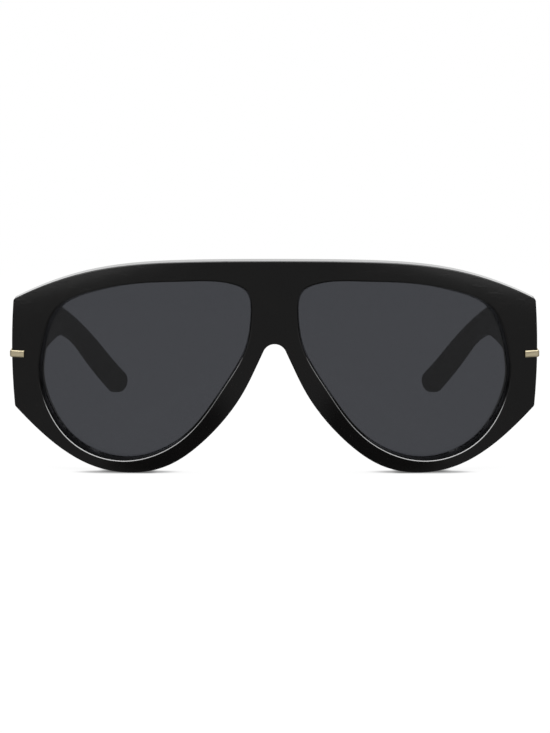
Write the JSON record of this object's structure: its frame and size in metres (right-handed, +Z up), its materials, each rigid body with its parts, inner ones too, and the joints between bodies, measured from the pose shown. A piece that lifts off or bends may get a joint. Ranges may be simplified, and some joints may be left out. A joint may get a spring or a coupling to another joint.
{
  "type": "oversized sunglasses",
  "caption": "Oversized flat-top sunglasses: thick curved black front with tinted lenses, gold corner bars and bowed temples that fold on barrel hinges.",
  "frame": {"origin": "on the table under the middle of the stance: midway between the end pieces and midway from the bridge's face to the temple tips", "axes": "+X towards the wearer's left, +Y from the front towards the temple tips, +Z up"},
  "size_m": [0.151, 0.146, 0.0609],
  "materials": {
    "acetate": "polished",
    "lens_tint": "polished dark grey tint",
    "gold": "satin pale gold",
    "hinge_steel": "satin",
    "core_steel": "drawn"
  },
  "bodies": {
    "front": {"front_frame": "acetate", "lens_left": "lens_tint", "lens_right": "lens_tint", "nose_pad_left": "acetate", "nose_pad_right": "acetate", "corner_bar_left": "gold", "corner_bar_right": "gold", "front_hinge_left": "hinge_steel", "front_hinge_right": "hinge_steel", "front_rivets_left": "hinge_steel", "front_rivets_right": "hinge_steel", "hinge_screw_left": "hinge_steel", "hinge_screw_right": "hinge_steel"},
    "left_temple": {"temple_left": "acetate", "temple_hinge_left": "hinge_steel", "temple_rivets_left": "hinge_steel", "temple_core_left": "core_steel"},
    "right_temple": {"temple_right": "acetate", "temple_hinge_right": "hinge_steel", "temple_rivets_right": "hinge_steel", "temple_core_right": "core_steel"}
  },
  "joints": [
    {"name": "left_temple_fold", "type": "hinge", "parent": "front", "child": "left_temple", "pos_m": [0.06891, -0.05529, 0.0323], "axis": [0, 0, 1], "range_deg": [0, 83]},
    {"name": "right_temple_fold", "type": "hinge", "parent": "front", "child": "right_temple", "pos_m": [-0.06891, -0.05529, 0.0323], "axis": [0, 0, -1], "range_deg": [0, 76]}
  ]
}
